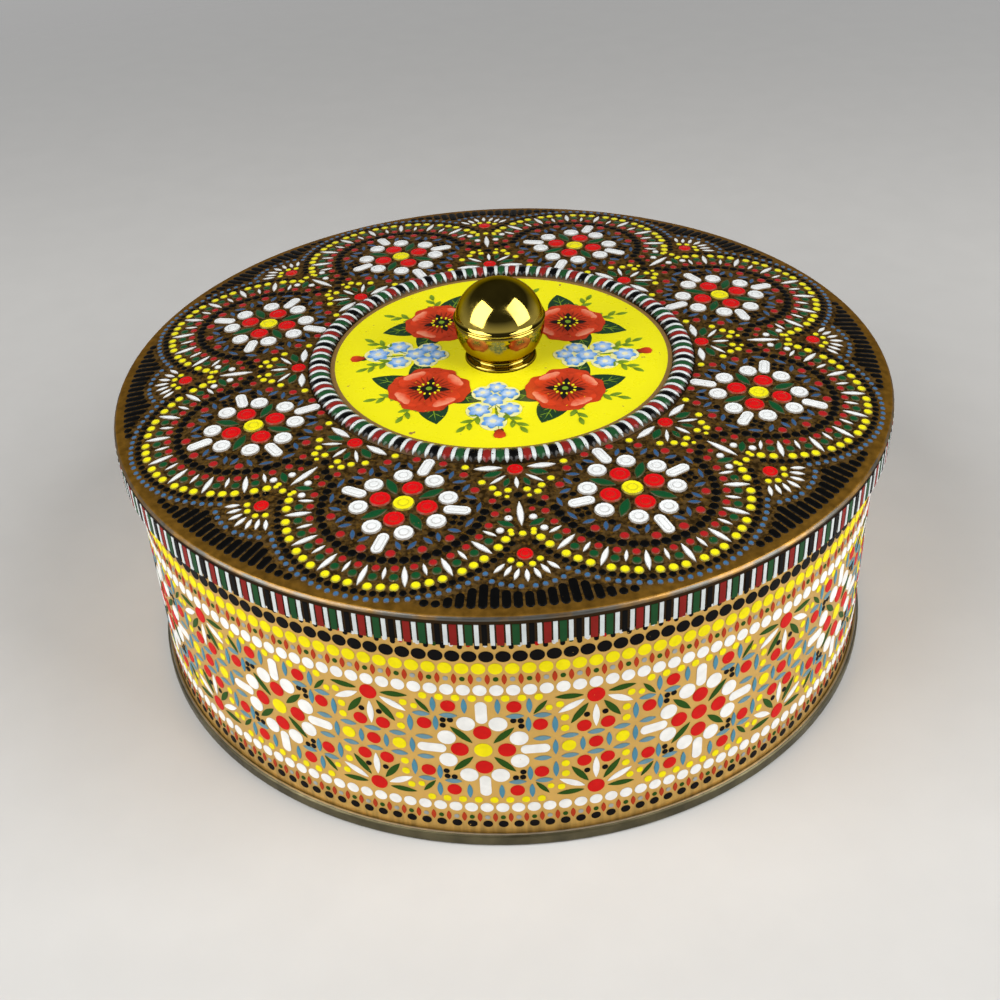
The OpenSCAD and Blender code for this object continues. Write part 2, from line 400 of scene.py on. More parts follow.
def pressed_enamel(name, tone, ground, flat_from, flat_to):
    """Glossy enamel on pressed tiles: clear on the crowns; where the metal falls away the colour deepens as
    painted shade and the enamel turns duller.
    """
    finish = Finish(name, Specular_IOR_Level=0.25, Coat_Weight=0.15, Coat_Roughness=0.1)
    # Painted shade: the tone deepens where the tile's normal tilts away from upright, on the tiles' slopes
    # and moats and at the rope bars' feet.
    crown = finish.spread(finish.upward(finish.normal), flat_from, flat_to)
    deep = finish.mix(0.5, darker(tone, 0.3), darker(ground, 0.4))
    body = finish.mix(finish.grain(500, 0.0, 0.25), finish.mix(crown, deep, tone), tone)
    flank = finish.spread(crown, 0.0, 0.8, 0.6, 0.2)
    finish.paint(
        finish.chipped(body, ground, 0.76, 0.79),
        finish.sum("MAXIMUM", finish.grain(900, 0.18, 0.32), flank),
        finish.spread(finish.noise(700), 0.35, 0.7, 0.0, 0.1))
    finish.bump(finish.noise(800), 0.25, 0.06 * MM)
    return finish.material


def shaded_enamel(name, deep, light, ground):
    """Flower enamel that goes from a deep tone at a petal's root to a light one at its tip."""
    finish = Finish(name, Coat_Weight=0.2, Coat_Roughness=0.1)
    along = finish.add("Attribute", "Fac", {}, attribute_name="along")
    brush = finish.sum("ADD", along, finish.spread(finish.noise(700), 0.25, 0.75, -0.22, 0.22))
    body = finish.mix(finish.spread(brush, 0.15, 0.85), deep, light)
    finish.paint(finish.chipped(body, ground, 0.77, 0.8), finish.grain(900, 0.26, 0.4))
    finish.bump(finish.noise(1100), 0.1, 0.05 * MM)
    return finish.material


def panel_enamel(name, tone, ground, sizes):
    """Yellow enamel of the centre panel, with a few dark specks towards its edge."""
    finish = Finish(name, Coat_Weight=0.2, Coat_Roughness=0.1)
    edge = finish.spread(finish.radius(), 0.75 * sizes.panel_radius, sizes.panel_radius, 0.0, 0.06)
    specks = finish.spread(finish.sum("ADD", finish.noise(520, 2.0), edge), 0.76, 0.79)
    finish.paint(finish.mix(specks, finish.clouded(tone, 0.94, 60), ground), finish.grain(300, 0.24, 0.36))
    finish.bump(finish.noise(240), 0.1, 0.1 * MM)
    return finish.material


def lid_lacquer(name, lid, bars, metal, sizes):
    """Brown-bronze lacquer with painted gold glints, turning golden at the rim, dark under the bars and in a
    band of painted shade just under the rim's bend, bare tin inside.
    """
    finish = Finish(
        name, Specular_IOR_Level=0.2, Specular_Tint=(0.35, 0.28, 0.2, 1),
        Coat_Weight=0.05, Coat_Roughness=0.1)
    radius = finish.radius()
    ground = finish.mix(
        finish.spread(finish.noise(800), 0.4, 0.62), darker(lid.ground, 0.25), lid.ground)
    # Painted glints: gold specks scattered through the ground, standing in for light caught by the pressed
    # metal.
    painted_glints = finish.spread(finish.noise(1250, 2.0), 0.54, 0.7, 0.0, 0.9)
    ground = finish.mix(painted_glints, ground, lid.rim)
    brushed = finish.spread(finish.noise(520, 4.0), 0.34, 0.66)
    bronze = finish.mix(brushed, darker(lid.rim, 0.6), lid.rim)
    golden = finish.spread(radius, sizes.rim_band - 2.2 * MM, sizes.rim_band + 0.3 * MM)
    top = finish.mix(golden, ground, bronze)
    bend = finish.spread(radius, sizes.lid_radius - 0.6 * MM, sizes.lid_radius - 0.4 * MM)
    worn = finish.sum("MULTIPLY", bend, finish.spread(finish.noise(150, 4.0), 0.35, 0.6, 0.3, 1.0))
    top = finish.mix(worn, top, darker(metal.tin, 0.3))
    rope = finish.sum(
        "MULTIPLY",
        finish.spread(radius, sizes.panel_edge - 0.4 * MM, sizes.panel_edge - 0.1 * MM),
        finish.spread(radius, sizes.dome_start - 0.6 * MM, sizes.dome_start - 0.3 * MM, 1.0, 0.0))
    # Below the crease the lacquer turns dark brown: between the skirt's bars that is the ground's own colour,
    # and in the band just under the rim's bend it is painted shade.
    crease = sizes.skirt_foot + sizes.skirt_bar + 0.98 * MM
    below = finish.spread(finish.upward(finish.place), crease - 0.2 * MM, crease, 1.0, 0.0)
    top = finish.mix(finish.sum("MAXIMUM", rope, below), top, bars.ground)
    outside = finish.outside(LID_INSIDE)
    finish.paint(
        finish.mix(outside, finish.clouded(metal.tin, 0.75, 300), top),
        finish.grain(420, 0.28, 0.42),
        finish.spread(outside, 0, 1, 0.95, 0.82))
    finish.bump(finish.noise(1000, 4.0), 0.22, 0.08 * MM)
    return finish.material


def wall_lacquer(name, wall, metal):
    """Golden tan lacquer with upright streaks in the low band and bare tin inside."""
    finish = Finish(name)
    streaks = finish.spread(finish.noise(700, 2.0, stretch=(1, 1, 0.03)), 0.4, 0.64, 0.35, 1.0)
    low = finish.spread(finish.upward(finish.place), 2.5 * MM, 11 * MM, 0.9, 0.1)
    gold = finish.clouded(wall.ground, 0.9, 160)
    gold = finish.mix(finish.sum("MULTIPLY", low, streaks), gold, darker(wall.ground, 0.42))
    outside = finish.outside(TIN_INSIDE)
    finish.paint(
        finish.mix(outside, finish.clouded(metal.tin, 0.75, 300), gold),
        finish.grain(420, 0.3, 0.42),
        finish.spread(outside, 0, 1, 0.95, 0.65))
    finish.bump(finish.noise(600), 0.08, 0.06 * MM)
    return finish.material


def bare_tin(name, metal):
    """Dull tinplate, brown with tarnish below and clean inside."""
    finish = Finish(name, Metallic=0.85)
    tarnish = finish.spread(finish.noise(120, 5.0), 0.35, 0.65)
    plate = finish.mix(tarnish, darker(metal.base, 1.25), darker(metal.base, 0.6))
    clean = finish.mix(tarnish, metal.tin, darker(metal.tin, 0.8))
    finish.paint(finish.mix(finish.outside(TIN_INSIDE), clean, plate), finish.grain(900, 0.32, 0.5))
    finish.bump(finish.noise(500), 0.1, 0.06 * MM)
    return finish.material


def polished(name, tone, gloss, painted_shade_below=0.0):
    """Polished metal with faint handling marks and hairline scratches, darkened below a height by painted
    shade.
    """
    finish = Finish(name, Metallic=1.0, Specular_Tint=(*tone, 1))
    haze = finish.spread(finish.noise(140, 4.0), 0.42, 0.72)
    # Painted shade: the metal's colour darkens below the given height.
    painted_shade = finish.spread(finish.upward(finish.place), painted_shade_below - 3 * MM, painted_shade_below, 1.0, 0.0)
    body = finish.mix(finish.sum("MAXIMUM", haze, painted_shade), tone, darker(tone, 0.6))
    finish.paint(body, finish.spread(finish.noise(220, 5.0), 0.4, 0.75, gloss, gloss + 0.16))
    finish.bump(finish.noise(900, 2.0, stretch=(1, 1, 0.08)), 0.02, 0.05 * MM)
    return finish.material


def floor_finish(name, tone, reach):
    """Pale matt floor with a very faint grain, which fades into the backdrop far from the tin."""
    finish = Finish(name, Roughness=0.75)
    finish.feed(finish.shader.inputs["Alpha"], finish.spread(finish.radius(), 0.35 * reach, reach, 1.0, 0.0))
    finish.paint(finish.clouded(tone, 0.97, 60, 6.0))
    return finish.material


def outline(bm, shape, length, width, sides):
    """One flat face in the XY plane with a tile's outline, long way along X."""
    along_layer = bm.verts.layers.float.new("along")
    ring = bmesh.ops.create_circle(bm, cap_ends=True, segments=sides, radius=1)["verts"]
    half_steps = 2 if shape == "spindle" else 1
    bmesh.ops.rotate(bm, verts=ring, matrix=Matrix.Rotation(half_steps * math.pi / sides, 3, "Z"))
    for vert in ring:
        along, across = vert.co.x, vert.co.y
        x, y = along * length / 2, across * width / 2
        if shape == "bar":
            x = along * width / 2 + math.copysign((length - width) / 2, along)
        elif shape == "spindle":
            y = across * abs(across) * width / 2
        elif shape == "petal":
            ruffle = 1 + RUFFLE_DEPTH * max(along, 0) * math.cos(RUFFLES * math.atan2(across, along))
            x, y = x * ruffle, y * (1 + PETAL_FLARE * along) * ruffle
        elif shape == "block":
            corner = max(abs(along), abs(across))
            x, y = along / corner * length / 2, across / corner * width / 2
        vert.co.x, vert.co.y = x, y
        vert[along_layer] = vert.co.x / length + 0.5
    bm.normal_update()
    if bm.faces[:][0].normal.z < 0:
        bmesh.ops.reverse_faces(bm, faces=bm.faces)
    return bm.faces[:]


def flat_tile(shape, length, width, sides=PRINT_SIDES):
    """A printed tile: a film of enamel a hair thick, with its edge sunk into the ground."""
    bm = bmesh.new()
    faces = outline(bm, shape, length, width, sides)
    bmesh.ops.translate(bm, verts=bm.verts, vec=(0, 0, -TILE_FOOT))
    film = bmesh.ops.extrude_discrete_faces(bm, faces=faces)["faces"]
    crown = [vert for face in film for vert in face.verts]
    bmesh.ops.translate(bm, verts=crown, vec=(0, 0, TILE_FOOT + PRINT_LIFT))
    return as_mesh("printed_tile", bm)


def petal_tile(shape, length, width):
    """A printed tile with a finer edge, for petals and leaves."""
    return flat_tile(shape, length, width, PETAL_SIDES)


def embossed_tile(shape, length, width):
    """A pressed tile that rises in steps to a soft crown, or to a raised disc in a ring if it is broad."""
    bm = bmesh.new()
    faces = outline(bm, shape, length, width, TILE_SIDES)
    steps = COIN_STEPS if width > COIN_WIDTH and shape != "spindle" else CROWN_STEPS
    bmesh.ops.translate(bm, verts=bm.verts, vec=(0, 0, -TILE_FOOT))
    rise = TILE_RISE + CROWN_SLOPE * width
    low = -TILE_FOOT
    reach = [length, width]
    for inset, share in steps:
        faces = bmesh.ops.extrude_discrete_faces(bm, faces=faces)["faces"]
        crown = [vert for face in faces for vert in face.verts]
        shrink = [max(side - 2 * inset * width, LEAST_CROWN * side) for side in (length, width)]
        bmesh.ops.scale(bm, verts=crown, vec=(shrink[0] / reach[0], shrink[1] / reach[1], 1))
        bmesh.ops.translate(bm, verts=crown, vec=(0, 0, rise * share - low))
        reach, low = shrink, rise * share
    return as_mesh("pressed_tile", bm)


def strap_tile(shape, length, width):
    """A bar for the rope ring: fine enough to bend over it, with a crown and rounded ends."""
    bm = bmesh.new()
    bmesh.ops.create_grid(bm, x_segments=STRAP_GRID[0], y_segments=STRAP_GRID[1], size=1)
    for vert in bm.verts:
        along, across = vert.co.x, vert.co.y
        end = max(abs(along) - 1 + width / length, 0) * length / width
        vert.co.x = along * length / 2
        vert.co.y = across * width / 2 * math.sqrt(max(1 - end ** 2, 0.1))
        vert.co.z = STRAP_RISE * (1 - across ** 4) - (TILE_FOOT if end > 0.9 else STRAP_FOOT)
    return as_mesh("rope_strap", bm)


def as_mesh(name, bm):
    """A mesh from a bmesh, which is freed."""
    bm.normal_update()
    mesh = bpy.data.meshes.new(name)
    bm.to_mesh(mesh)
    bm.free()
    return mesh


def add_piece(name, mesh, material, body):
    """A finished piece that moves with a body of the frame."""
    mesh.name = name
    mesh.materials.append(material)
    mesh.shade_smooth()
    piece = bpy.data.objects.new(name, mesh)
    bpy.context.scene.collection.objects.link(piece)
    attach(piece, body)
    return piece


def polished_copy(node, material):
    """A piece in the shape of one of the frame's, with its facets shaded as one smooth surface."""
    bm = bmesh.new()
    bm.from_mesh(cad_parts[node].data)
    bmesh.ops.remove_doubles(bm, verts=bm.verts, dist=WELD)
    mesh = as_mesh(node + "_polished", bm)
    mesh.materials.clear()
    piece = add_piece(node + "_polished", mesh, material, "lid")
    mesh.set_sharp_from_angle(angle=SHARP_EDGE)
    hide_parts(node)


class Mosaic:
    """Tiles laid on one face of the tin, gathered into one mesh for each enamel."""

    def __init__(self, tile_maker):
        self.tile_maker = tile_maker
        self.shapes = {}
        self.grounds = {}

    def lay(self, tile, face):
        """Presses one tile onto a face, each point carried by the face's own rule."""
        key = (tile.shape, tile.length, tile.width)
        if key not in self.shapes:
            self.shapes[key] = self.tile_maker(tile.shape, tile.length * MM, tile.width * MM)
        if tile.colour not in self.grounds:
            self.grounds[tile.colour] = bmesh.new()
        bm = self.grounds[tile.colour]
        first = len(bm.verts)
        bm.from_mesh(self.shapes[key])
        bm.verts.ensure_lookup_table()
        turn = Matrix.Rotation(math.radians(tile.turn), 3, "Z")
        corner = Vector((tile.x * MM, tile.y * MM, 0))
        for vert in bm.verts[first:]:
            vert.co = face(*(turn @ vert.co + corner))

    def lay_all(self, tiles, face):
        """Presses a whole motif onto a face."""
        for tile in tiles:
            self.lay(tile, face)

    def pieces(self, prefix, body, slot, paint):
        """Turns the gathered tiles into pieces, one for each enamel."""
        made = []
        for name, bm in sorted(self.grounds.items()):
            mesh = as_mesh(prefix + name, bm)
            made.append(add_piece(prefix + name, mesh, paint(name), body))
        for mesh in self.shapes.values():
            bpy.data.meshes.remove(mesh)
        return made


def set_normals(pieces, rule):
    """Lets printed tiles shade as the face under them does, whose normal a rule gives for each place."""
    for piece in pieces:
        piece.data.normals_split_custom_set_from_vertices([rule(vert.co) for vert in piece.data.vertices])


def wall_normal(place):
    """The round wall's normal."""
    return Vector((place.x, place.y, 0)).normalized()


def panel_normal(place):
    """The flat panel's normal, the same at every place."""
    return Vector((0, 0, 1))


def wall_face(azimuth, height, radius):
    """The rule that carries a point round the wall: along X round it, along Y up it."""
    def carry(x, y, lift):
        angle = azimuth + x / radius
        out = radius + lift
        return Vector((out * math.sin(angle), -out * math.cos(angle), height + y))
    return carry


def lid_height(sizes, radius):
    """Height of the lid's top at a distance from its axis."""
    fall = max(radius - sizes.dome_start, 0)
    return sizes.panel_height - sizes.dome_bend + math.sqrt(sizes.dome_bend ** 2 - fall ** 2)


def lid_face(sizes, azimuth, ring=0.0):
    """The rule that lays a point on the lid, seen from above with the rim upwards."""
    outward = Vector((math.sin(azimuth), -math.cos(azimuth), 0))
    aside = Vector((-math.cos(azimuth), -math.sin(azimuth), 0))
    def carry(x, y, lift):
        flat = outward * (ring + y) + aside * x
        return flat + Vector((0, 0, lid_height(sizes, flat.length) + lift))
    return carry


def rope_face(sizes, azimuth):
    """The rule that lays a point over the rope ring: along X round it, along Y over its crown."""
    rise = sizes.rope_top - sizes.panel_height
    bend = (sizes.rope_width ** 2 / 4 + rise ** 2) / (2 * rise)
    def carry(x, y, lift):
        angle = azimuth - x / sizes.rope_radius
        lean = y / bend
        out = sizes.rope_radius + (bend + lift) * math.sin(lean)
        up = sizes.rope_top - bend + (bend + lift) * math.cos(lean)
        return Vector((out * math.sin(angle), -out * math.cos(angle), up))
    return carry


def panel_face(sizes, level):
    """The rule that lays a petal flat at its level over the panel, with its foot sunk into the sheet."""
    def carry(x, y, lift):
        return Vector((x, y, sizes.panel_height + (level * PANEL_LAYER if lift > 0 else -TILE_FOOT)))
    return carry


# The lid's medallion: x across and y outwards from its centre.
LID_ROSETTE = (
    spot("yellow", 5.1, 0, 0),
    spot("red", 5.0, 0, 5.4),
    spot("red", 5.0, 0, -5.3),
    *both(spot("red", 5.0, 5.4, 0)),
    *spots(both, "white", (4.6, 3.65, 8.9), (4.6, 8.95, 3.7), (4.6, 8.65, -4.25), (4.6, 3.65, -9.0)),
    Tile("white", "bar", 6.3, 2.9, 0, 13.1, 90),
    Tile("white", "bar", 6.6, 2.9, 0, -13.3, 90),
    *both(Tile("white", "bar", 6.2, 2.9, 11.9, -0.9, -9)),
    *spindles(both, "green", (6.5, 2.7, 4.75, 4.95, 46), (6.4, 2.6, 4.65, -4.75, -47)),
)
LID_GARLAND = (
    *spots(
        both, "ruby",
        (2.6, 3.3, 15.5), (2.4, 9.2, 12.6), (2.4, 13.5, 7.9),
        (2.4, 13.2, -8.3), (2.3, 9.0, -12.9), (2.2, 3.15, -15.6)),
    *spindles(
        both, "blue",
        (3.1, 1.3, 3.9, 12.8, 48), (3.3, 1.3, 6.7, 12.0, -70), (3.1, 1.3, 9.4, 9.8, 27),
        (3.1, 1.3, 11.1, 8.2, 63), (3.2, 1.35, 13.6, 5.4, -3), (3.5, 1.2, 15.8, 2.2, -76),
        (3.5, 1.2, 16.0, -3.1, 84), (3.1, 1.35, 13.2, -5.8, 5), (3.2, 1.3, 11.1, -8.6, -76),
        (3.2, 1.3, 8.9, -10.3, -28), (3.4, 1.25, 6.4, -12.1, 88), (3.1, 1.25, 3.6, -12.9, -48)),
    *spots(
        both, "black",
        (1.4, 5.2, 11.6), (1.8, 9.4, 7.7), (1.45, 12.4, 3.1), (1.45, 14.0, 3.0), (1.4, 12.2, 1.4),
        (1.45, 13.9, 1.2), (1.6, 12.2, -4.1), (1.6, 14.1, -4.3), (1.8, 9.2, -8.1), (1.5, 5.0, -12.5)),
)
# Between two medallions: x across and y from the lid's axis.
LID_JUNCTION = (
    # The fan at the rim.
    spot("red", 3.7, 0, 78.1),
    *spots(both, "yellow", (1.75, 1.3, 81.0), (1.75, 3.0, 79.6)),
    Tile("white", "spindle", 3.7, 1.3, 0, 84.1, 90),
    *spindles(
        both, "white",
        (3.5, 1.25, 2.1, 83.65, 68), (3.5, 1.25, 3.8, 82.6, 57), (3.6, 1.25, 5.5, 81.7, 44)),
    # The stem where the medallions come closest.
    spot("yellow", 1.9, 0, 71.9),
    *both(spot("yellow", 1.5, 2.3, 71.8)),
    Tile("white", "spindle", 8.4, 1.7, 0, 65.5, 90),
    *spots(both, "white", (2.0, 2.6, 66.8), (2.0, 4.6, 70.5)),
    *both(Tile("green", "spindle", 4.4, 2.1, 3.3, 68.6, -30)),
    *spots(both, "ruby", (1.6, 2.6, 64.2), (2.0, 5.6, 60.8)),
    *spots(both, "black", (2.1, 4.8, 62.7), (2.1, 2.7, 61.7)),
    spot("black", 2.1, 0, 59.2),
    # The foot beside the rope ring.
    *spots(
        both, "yellow",
        (1.3, 2.4, 59.6), (1.95, 2.05, 57.4), (2.0, 4.3, 58.4),
        (2.0, 5.3, 56.3), (2.0, 7.5, 54.0), (2.0, 10.85, 47.95)),
    spot("red", 3.9, 0, 50.0),
    Tile("white", "spindle", 4.4, 1.2, 0, 54.8, 90),
    *spindles(both, "white", (4.9, 1.1, 4.0, 53.4, 39), (6.6, 2.1, 5.9, 48.95, -2)),
    *spindles(both, "green", (4.8, 2.5, 5.0, 51.3, 18), (3.5, 1.7, 2.2, 54.6, 70)),
)
# Bead rows round a medallion: their radii in mm, and half the angle between two beads of the inner rows.
BLACK_ROW, RUBY_ROW, GREEN_ROW, YELLOW_ROW, EDGE_ROW, SKY_ROW = 17.8, 20.1, 22.6, 25.25, 27.0, 28.65
BEAD_STEP = 5.6
SKY_BEAD = 1.4
BAR_STEP = 1.465
BAR_COUNT = 9
BAR_WIDTH = 2.0
BAR_OUTER_END = 92.7
SCALLOP_REACH = 30.3
SPANDREL_CENTRE = 73.0
SPANDREL_REACH = 15.3


def medallion_rows():
    """Bead rows that arch over a medallion, from the black band out to the blue outline."""
    tiles = [bead("black", 2.2, BLACK_ROW, 7.4 * k) for k in range(-13, 14)]
    for side in (-1, 1):
        for k in range(9):
            angle = side * BEAD_STEP * (2 * k + 1)
            tiles.append(bead("ruby", 2.1, RUBY_ROW, angle))
            if k < 7:
                tiles.append(bead("green", 2.35, GREEN_ROW, angle))
        for k in range(4):
            tiles.append(on_ring("white", "spindle", 3.6, 1.05, 21.4, side * BEAD_STEP * (4 * k + 2)))
        for k in range(14):
            tiles.append(bead("sky", SKY_BEAD, SKY_ROW, side * (2.3 + 4.2 * k)))
        for group in range(4):
            middle = BEAD_STEP * (4 * group + 2)
            for step in (-6.3, 0, 6.3):
                size, row = (1.6, 25.0) if group == 3 and step > 0 else (2.3, YELLOW_ROW)
                tiles.append(bead("yellow", size, row, side * (middle + step)))
    for k in range(-3, 4):
        tiles.append(on_ring("white", "spindle", 6.1, 1.55, 22.5, 4 * BEAD_STEP * k))
    return tiles + [bead("black", 1.65, EDGE_ROW, 4.3 * k) for k in range(-18, 19)]


def junction_outline():
    """Blue beads round the fan between two medallions."""
    tiles = []
    for k in range(4):
        blue = bead("sky", SKY_BEAD, 14.1, 5.8 + 8.3 * k)
        tiles += both(blue._replace(y=blue.y + SPANDREL_CENTRE))
    return tiles


def past_circle(angle, distance, reach):
    """How far along a ray from the lid's axis a circle reaches that lies off to its side."""
    across = distance * math.sin(angle)
    if abs(across) > reach:
        return 0.0
    return distance * math.cos(angle) + math.sqrt(reach ** 2 - across ** 2)


def rim_bars(mosaic, half_pitch):
    """Black bars from the rim inwards, each as long as the scalloped outline leaves room for."""
    ring = mosaic.medallion_ring / MM
    tiles = []
    for k in range(-BAR_COUNT, BAR_COUNT + 1):
        degrees = BAR_STEP * k
        angle = math.radians(degrees)
        inner = max(
            past_circle(angle, SPANDREL_CENTRE, SPANDREL_REACH),
            past_circle(half_pitch - abs(angle), ring, SCALLOP_REACH))
        length = max(BAR_OUTER_END - inner, BAR_WIDTH)
        tiles.append(on_ring(
            "black", "bar", round(length, 2), BAR_WIDTH, BAR_OUTER_END - length / 2, degrees))
    return tiles


# The wall's rosette and star panel: x round the wall and y up it.
WALL_ROSETTE = (
    *both(spot("red", 3.9, 5.05, 0)),
    *over_under(spot("red", 3.9, 0, 5.2)),
    *spots(four, "white", (4.0, 3.4, 7.7), (4.0, 7.7, 3.4)),
    *over_under(Tile("white", "bar", 6.2, 2.5, 0, 11.0, 90)),
    *both(Tile("white", "bar", 6.3, 2.5, 11.1, 0)),
    *four(Tile("green", "spindle", 6.4, 1.55, 4.5, 4.35, 45)),
    *spots(four, "black", (1.35, 6.65, 8.6), (1.35, 8.2, 8.5), (1.35, 8.3, 6.9)),
    *spots(four, "red", (3.2, 6.9, 12.6), (3.2, 12.3, 7.1)),
    *spindles(
        four, "blue",
        (4.3, 1.25, 3.5, 12.8, 90), (4.3, 1.25, 10.1, 12.8, 90),
        (4.3, 1.25, 9.8, 7.4, 90), (4.8, 1.3, 15.4, 6.7, 90)),
    *both(Tile("blue", "spindle", 4.5, 1.25, 15.4, 0, 90)),
    *spindles(four, "grey", (3.85, 1.35, 7.0, 9.9), (3.85, 1.35, 12.8, 9.8), (3.85, 1.35, 12.6, 3.0)),
)
WALL_STAR = (
    spot("red", 3.2, 0, 0),
    *both(spot("yellow", 3.1, 5.9, 0)),
    *both(Tile("blue", "spindle", 4.0, 1.2, 2.9, 0, 90)),
    *over_under(Tile("grey", "spindle", 3.85, 1.35, 0, 3.0)),
    *four(Tile("grey", "spindle", 3.85, 1.35, 5.7, 3.0)),
    *four(spot("red", 3.2, 2.6, 5.25)),
    *over_under(Tile("white", "spindle", 6.5, 1.5, 0, 7.85, 90)),
    *four(Tile("white", "spindle", 6.3, 1.6, 5.3, 11.5, -28)),
    *four(spot("black", 1.35, 2.0, 8.4)),
    *over_under(spot("red", 3.9, 0, 13.7)),
    *spindles(
        four, "green",
        (6.4, 1.55, 3.55, 9.1, -54), (6.0, 1.4, 5.7, 14.35, 3), (4.6, 1.1, 11.8, 12.1, -51)),
    *spots(four, "yellow", (1.7, 7.7, 12.4), (1.5, 10.0, 11.8), (1.8, 6.7, 8.4), (1.8, 6.7, 5.3)),
)
# Bead rows round the wall: enamel, width and height of a bead in mm, height of the row in mm, shift in steps.
BEAD_ROWS = (
    ("black", 3.15, 2.9, 55.9, 0.5),
    ("yellow", 3.0, 2.95, 52.6, 0),
    ("white", 2.95, 2.95, 46.6, 0),
    ("white", 2.9, 2.8, 11.25, 0),
    ("black", 2.2, 2.0, 5.9, 0),
)
# Rows of thin upright tiles with dots between them, and rows of small dots: their heights and sizes in mm.
SPINDLE_ROWS = (49.7, 8.05)
SPINDLE = (2.9, 1.1)
SPINDLE_DOT = 1.15
SMALL_ROWS = (44.3, 13.7)
SMALL_DOT = 1.8
WALL_HEART = 3.95
# Stubs that run up under the lid: a black one on each step and a shorter coloured one between two.
STUB_COLOURS = ("white", "green", "white", "red")
STUB_HEIGHT = 60.45
STUB_LENGTH = 5.1
STUB_WIDTH = 1.05
STUB_SHORTER = 1.2
STUB_NARROW = 0.9
# Bars on the rope ring: the coloured ones in order, and length and width of these and the white ones in mm.
ROPE_COLOURS = ("red", "green", "black")
ROPE_BAR = (5.6, 1.85)
ROPE_WHITE = (5.9, 1.0)
# Bars on the skirt in order: enamel and width in mm.
SKIRT_BARS = (("red", 1.45), ("white", 0.9), ("green", 1.4), ("white", 0.9), ("black", 1.05), ("white", 0.9))


def wall_cell(step_mm, beads, index):
    """Bead rows over one rosette and its star panel, with x from the rosette's axis."""
    tiles = []
    for k in range(beads):
        x = (k - beads // 2) * step_mm
        number = index * beads + k
        for enamel_name, width, height, row, shift in BEAD_ROWS:
            tiles.append(Tile(enamel_name, "oval", width, height, x + shift * step_mm, row))
        for row in SPINDLE_ROWS:
            tiles.append(Tile("rust", "spindle", *SPINDLE, x + step_mm / 2, row, 90))
            tiles.append(spot("green" if (k - beads // 2) % 2 else "silver", SPINDLE_DOT, x, row))
        tiles.append(Tile("black", "bar", STUB_LENGTH, STUB_WIDTH, x, STUB_HEIGHT, 90))
        stub = STUB_COLOURS[(number - beads // 2) % len(STUB_COLOURS)]
        shorter = STUB_LENGTH - STUB_SHORTER
        tiles.append(Tile(stub, "bar", shorter, STUB_NARROW, x + step_mm / 2, STUB_HEIGHT, 90))
    for row in SMALL_ROWS:
        for k in range(4):
            tiles += both(spot("yellow", SMALL_DOT, (k + 0.5) * step_mm, row))
    return tiles


def shown_on_wall(tile, azimuth, sizes):
    """Whether a tile stays clear of the bare strip along the lock seam, which is at the back."""
    angle = azimuth + tile.x * MM / sizes.wall_radius
    from_seam = abs((angle % math.tau) - math.pi) * sizes.wall_radius
    half = max(tile.length * abs(math.cos(math.radians(tile.turn))), tile.width) * MM / 2
    return from_seam > sizes.seam_margin + half


# Starry flowers of one cluster: turn in degrees and reach in mm from its middle, and size in mm.
CLUSTER = (
    (0, 7.6, 5.6), (-8, 3.0, 5.4), (8, 2.4, 5.0), (-1, -1.8, 5.2),
    (9, -4.4, 4.6), (-10, -4.6, 4.6), (0, -7.2, 4.4))


